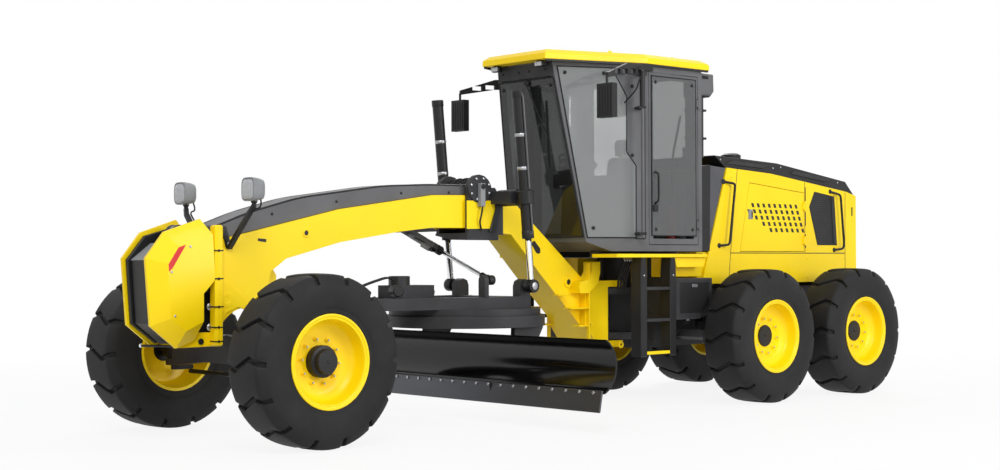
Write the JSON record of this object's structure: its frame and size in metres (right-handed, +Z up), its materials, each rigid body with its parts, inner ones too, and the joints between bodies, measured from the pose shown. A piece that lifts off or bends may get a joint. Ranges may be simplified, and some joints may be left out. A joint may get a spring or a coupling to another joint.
{
  "type": "motor grader",
  "caption": "Articulated motor grader with a gooseneck front frame, turning circle and mouldboard, closed cab, hooded engine and tandem rear drive.",
  "frame": {"origin": "on the ground under the middle of the machine's overall box", "axes": "+X forward, +Y to the driver's left, +Z up"},
  "size_m": [8.824, 3.965, 3.3793],
  "materials": {
    "yellow_paint": "gloss enamel",
    "dark_paint": "satin black enamel",
    "grey_paint": "satin grey enamel",
    "black_paint": "gloss black enamel",
    "steel": "worn steel",
    "chrome_rod": "hard chrome",
    "tyre_rubber": "moulded rubber",
    "window_glass": "clear",
    "seat_fabric": "woven",
    "black_plastic": "moulded",
    "engine_iron": "painted casting"
  },
  "bodies": {
    "rear_body": {"rear_frame": "dark_paint", "rear_axle": "dark_paint", "tandem_cases": "dark_paint", "cab_frame": "grey_paint", "cab_glass": "window_glass", "cab_roof": "yellow_paint", "seat": "seat_fabric", "console": "black_plastic", "platform": "dark_paint", "hood_shell": "yellow_paint", "hood_top": "black_paint", "engine": "engine_iron", "rear_panel": "dark_paint", "mirrors": "black_plastic"},
    "front_body": {"front_frame": "yellow_paint", "beam_cap": "grey_paint", "nose_cowl": "yellow_paint", "nose_core": "grey_paint", "head_lamps": "dark_paint", "front_axle": "dark_paint", "saddle": "dark_paint"},
    "knuckle_left": {"knuckle_left": "dark_paint"},
    "knuckle_right": {"knuckle_right": "dark_paint"},
    "tie_rod": {"tie_rod": "steel"},
    "drawbar": {"drawbar": "dark_paint"},
    "circle": {"circle": "yellow_paint"},
    "blade_carrier": {"blade_carrier": "dark_paint"},
    "blade": {"mouldboard": "black_paint", "cutting_edge": "steel"},
    "lift_barrel_left": {"lift_barrel_left": "black_paint"},
    "lift_barrel_right": {"lift_barrel_right": "black_paint"},
    "lift_rod_left": {"lift_rod_left": "chrome_rod"},
    "lift_rod_right": {"lift_rod_right": "chrome_rod"},
    "swing_barrel": {"swing_barrel": "dark_paint"},
    "swing_rod": {"swing_rod": "chrome_rod"},
    "cab_door_left": {"cab_door_left": "grey_paint", "door_glass_left": "window_glass"},
    "cab_door_right": {"cab_door_right": "grey_paint", "door_glass_right": "window_glass"},
    "hood_door_left": {"hood_door_left": "yellow_paint"},
    "hood_door_right": {"hood_door_right": "yellow_paint"},
    "wheel_front_left": {"tyre_front_left": "tyre_rubber", "rim_front_left": "yellow_paint"},
    "wheel_front_right": {"tyre_front_right": "tyre_rubber", "rim_front_right": "yellow_paint"},
    "wheel_mid_left": {"tyre_mid_left": "tyre_rubber", "rim_mid_left": "yellow_paint"},
    "wheel_mid_right": {"tyre_mid_right": "tyre_rubber", "rim_mid_right": "yellow_paint"},
    "wheel_rear_left": {"tyre_rear_left": "tyre_rubber", "rim_rear_left": "yellow_paint"},
    "wheel_rear_right": {"tyre_rear_right": "tyre_rubber", "rim_rear_right": "yellow_paint"}
  },
  "joints": [
    {"name": "articulation", "type": "hinge", "parent": "rear_body", "child": "front_body", "pos_m": [-0.883, 0, 0.888], "axis": [0, 0, 1], "range_deg": [-20, 20]},
    {"name": "steer_left", "type": "hinge", "parent": "front_body", "child": "knuckle_left", "pos_m": [3.467, 0.93, 0.662], "axis": [0, 0, 1], "range_deg": [-45, 45]},
    {"name": "steer_right", "type": "hinge", "parent": "front_body", "child": "knuckle_right", "pos_m": [3.467, -0.93, 0.662], "axis": [0, 0, 1], "range_deg": [-45, 45]},
    {"name": "tie_rod_turn", "type": "hinge", "parent": "knuckle_left", "child": "tie_rod", "pos_m": [3.317, 0.93, 0.48], "axis": [0, 0, 1], "range_deg": [-45, 45]},
    {"name": "roll_front_left", "type": "hinge", "parent": "knuckle_left", "child": "wheel_front_left", "pos_m": [3.467, 1.078, 0.662], "axis": [0, 1, 0], "continuous": true},
    {"name": "roll_front_right", "type": "hinge", "parent": "knuckle_right", "child": "wheel_front_right", "pos_m": [3.467, -1.078, 0.662], "axis": [0, 1, 0], "continuous": true},
    {"name": "roll_mid_left", "type": "hinge", "parent": "rear_body", "child": "wheel_mid_left", "pos_m": [-1.983, 1.078, 0.662], "axis": [0, 1, 0], "continuous": true},
    {"name": "roll_mid_right", "type": "hinge", "parent": "rear_body", "child": "wheel_mid_right", "pos_m": [-1.983, -1.078, 0.662], "axis": [0, 1, 0], "continuous": true},
    {"name": "roll_rear_left", "type": "hinge", "parent": "rear_body", "child": "wheel_rear_left", "pos_m": [-3.521, 1.078, 0.662], "axis": [0, 1, 0], "continuous": true},
    {"name": "roll_rear_right", "type": "hinge", "parent": "rear_body", "child": "wheel_rear_right", "pos_m": [-3.521, -1.078, 0.662], "axis": [0, 1, 0], "continuous": true},
    {"name": "blade_lift", "type": "hinge", "parent": "front_body", "child": "drawbar", "pos_m": [3.067, 0, 1.02], "axis": [0, 1, 0], "range_deg": [-20, 8.6]},
    {"name": "lift_swivel_left", "type": "hinge", "parent": "front_body", "child": "lift_barrel_left", "pos_m": [0.754, 0.552, 1.985], "axis": [0, 1, 0], "range_deg": [-5.5, 3]},
    {"name": "lift_slide_left", "type": "slide", "parent": "lift_barrel_left", "child": "lift_rod_left", "axis": [0.0958, 0, 0.9954], "range_m": [-0.84, 0.37]},
    {"name": "lift_swivel_right", "type": "hinge", "parent": "front_body", "child": "lift_barrel_right", "pos_m": [0.754, -0.552, 1.985], "axis": [0, 1, 0], "range_deg": [-5.5, 3]},
    {"name": "lift_slide_right", "type": "slide", "parent": "lift_barrel_right", "child": "lift_rod_right", "axis": [0.0958, 0, 0.9954], "range_m": [-0.84, 0.37]},
    {"name": "swing_swivel", "type": "hinge", "parent": "front_body", "child": "swing_barrel", "pos_m": [1.047, -0.85, 1.729], "axis": [1, 0, 0], "range_deg": [-24.5, 11]},
    {"name": "swing_slide", "type": "slide", "parent": "swing_barrel", "child": "swing_rod", "axis": [0, -0.9315, 0.3637], "range_m": [-0.33, 0.145]},
    {"name": "circle_turn", "type": "hinge", "parent": "drawbar", "child": "circle", "pos_m": [0.997, 0, 0.87], "axis": [0, 0, 1], "range_deg": [-45, 45]},
    {"name": "blade_tip", "type": "hinge", "parent": "circle", "child": "blade_carrier", "pos_m": [0.927, 0, 0.42], "axis": [0, 1, 0], "range_deg": [-8, 30]},
    {"name": "blade_shift", "type": "slide", "parent": "blade_carrier", "child": "blade", "axis": [0, 1, 0], "range_m": [-0.6, 0.6]},
    {"name": "cab_door_left_swing", "type": "hinge", "parent": "rear_body", "child": "cab_door_left", "pos_m": [-1.355, 0.82121, 2.35], "axis": [0, 0, 1], "range_deg": [0, 90]},
    {"name": "cab_door_right_swing", "type": "hinge", "parent": "rear_body", "child": "cab_door_right", "pos_m": [-1.355, -0.82121, 2.35], "axis": [0, 0, -1], "range_deg": [0, 90]},
    {"name": "hood_door_left_swing", "type": "hinge", "parent": "rear_body", "child": "hood_door_left", "pos_m": [-3.38, 0.614, 1.8], "axis": [0, 0, 1], "range_deg": [0, 100]},
    {"name": "hood_door_right_swing", "type": "hinge", "parent": "rear_body", "child": "hood_door_right", "pos_m": [-3.38, -0.614, 1.8], "axis": [0, 0, -1], "range_deg": [0, 100]}
  ],
  "couplings": [
    {"joint": "steer_right", "follows": "steer_left", "ratio": 1},
    {"joint": "tie_rod_turn", "follows": "steer_left", "ratio": -1},
    {"joint": "lift_swivel_left", "follows": "blade_lift", "ratio": 0.2371},
    {"joint": "lift_slide_left", "follows": "blade_lift", "m_per_rad": 2.3817},
    {"joint": "lift_swivel_right", "follows": "blade_lift", "ratio": 0.2371},
    {"joint": "lift_slide_right", "follows": "blade_lift", "m_per_rad": 2.3817},
    {"joint": "swing_swivel", "follows": "blade_lift", "ratio": 1.1915},
    {"joint": "swing_slide", "follows": "blade_lift", "m_per_rad": 0.91347}
  ]
}
